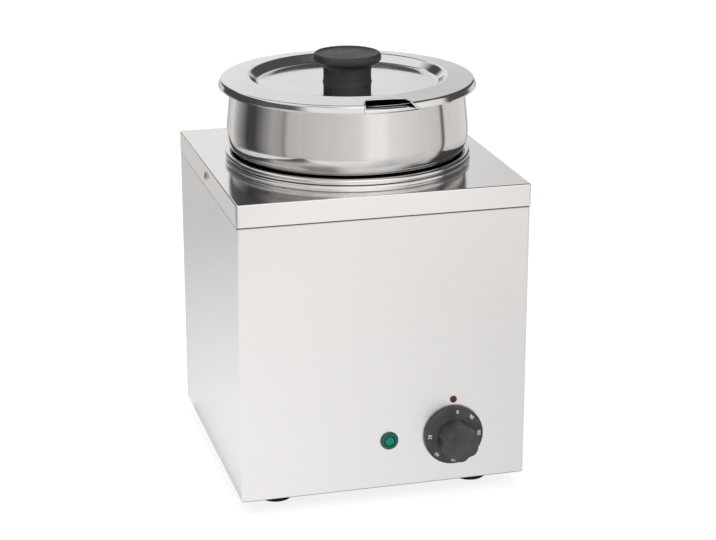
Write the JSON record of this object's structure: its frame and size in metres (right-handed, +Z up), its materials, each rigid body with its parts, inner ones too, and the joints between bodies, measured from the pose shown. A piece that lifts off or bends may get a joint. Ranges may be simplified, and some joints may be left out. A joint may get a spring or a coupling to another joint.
{
  "type": "bain marie",
  "caption": "Countertop wet-well food warmer: square folded stainless housing, round pot with notched lid in a water well, thermostat dial, pilot lamp and rubber feet",
  "frame": {"origin": "on the floor, under the middle of the whole object's footprint, control knob and cable gland included, so it lies 6.5 mm in front of the housing's own middle", "axes": "+Z up, the control panel faces -Y, +X to the right of someone who faces the control panel"},
  "size_m": [0.2532, 0.2884, 0.3659],
  "materials": {
    "housing_steel": "fine brushed",
    "polished_steel": "polished",
    "zinc_steel": "zinc plated",
    "aluminium": "cast, matt",
    "element_sheath": "heat stained, dull",
    "ceramic": "pale, slightly glazed",
    "brass": "turned",
    "copper": "drawn copper",
    "black_plastic": "moulded, satin",
    "black_rubber": "matt",
    "green_plastic": "gloss",
    "green_lens": "clear gloss",
    "red_plastic": "gloss",
    "grey_plastic": "moulded, matt",
    "brown_insulation": "silicone sleeve",
    "blue_insulation": "silicone sleeve",
    "green_yellow_insulation": "silicone sleeve, striped"
  },
  "bodies": {
    "housing": {"top_cover": "housing_steel", "cap_screw_left": "zinc_steel", "cap_screw_right": "zinc_steel", "cap_screw_rear": "zinc_steel", "housing_wrap": "housing_steel", "rear_panel": "housing_steel", "rear_screw_lower_left": "zinc_steel", "rear_screw_lower_right": "zinc_steel", "rear_screw_upper_left": "zinc_steel", "rear_screw_upper_right": "zinc_steel", "base_plate": "zinc_steel", "base_screw_left": "zinc_steel", "base_screw_right": "zinc_steel", "foot_front_left": "black_rubber", "foot_front_right": "black_rubber", "foot_rear_left": "black_rubber", "foot_rear_right": "black_rubber", "foot_screw_front_left": "zinc_steel", "foot_screw_front_right": "zinc_steel", "foot_screw_rear_left": "zinc_steel", "foot_screw_rear_right": "zinc_steel", "water_basin": "polished_steel", "basin_retaining_ring": "zinc_steel", "heat_spreader": "aluminium", "heating_element": "element_sheath", "element_terminal_live": "ceramic", "element_terminal_neutral": "ceramic", "element_clamp": "zinc_steel", "clamp_stud": "zinc_steel", "clamp_nut": "zinc_steel", "over_heat_limiter": "grey_plastic", "thermostat_bracket": "zinc_steel", "thermostat_body": "grey_plastic", "thermostat_screw_upper": "zinc_steel", "thermostat_screw_lower": "zinc_steel", "pilot_lamp": "green_plastic", "pilot_lens": "green_lens", "pilot_nut": "zinc_steel", "index_marker": "red_plastic", "cable_gland": "black_plastic", "gland_nut": "black_plastic", "terminal_block": "ceramic", "earth_stud": "brass", "earth_nut": "brass", "sensing_bulb": "copper", "bulb_clip": "zinc_steel", "capillary_tube": "copper", "lead_live": "brown_insulation", "lead_switched": "brown_insulation", "lead_element": "brown_insulation", "lead_neutral": "blue_insulation", "lead_earth": "green_yellow_insulation", "lead_lamp_live": "brown_insulation", "lead_lamp_neutral": "blue_insulation"},
    "knob": {"control_knob": "black_plastic", "thermostat_shaft": "brass"},
    "pot": {"pot_insert": "polished_steel"},
    "lid": {"lid_plate": "polished_steel", "lid_knob": "black_plastic", "lid_knob_screw": "zinc_steel"}
  },
  "joints": [
    {"name": "knob_turn", "type": "hinge", "parent": "housing", "child": "knob", "pos_m": [0.06, -0.1172, 0.0565], "axis": [0, 1, 0], "range_deg": [0, 320]},
    {"name": "pot_lift", "type": "slide", "parent": "housing", "child": "pot", "axis": [0, 0, 1], "range_m": [0, 0.2]},
    {"name": "lid_lift", "type": "slide", "parent": "pot", "child": "lid", "axis": [0, 0, 1], "range_m": [0, 0.07]}
  ]
}
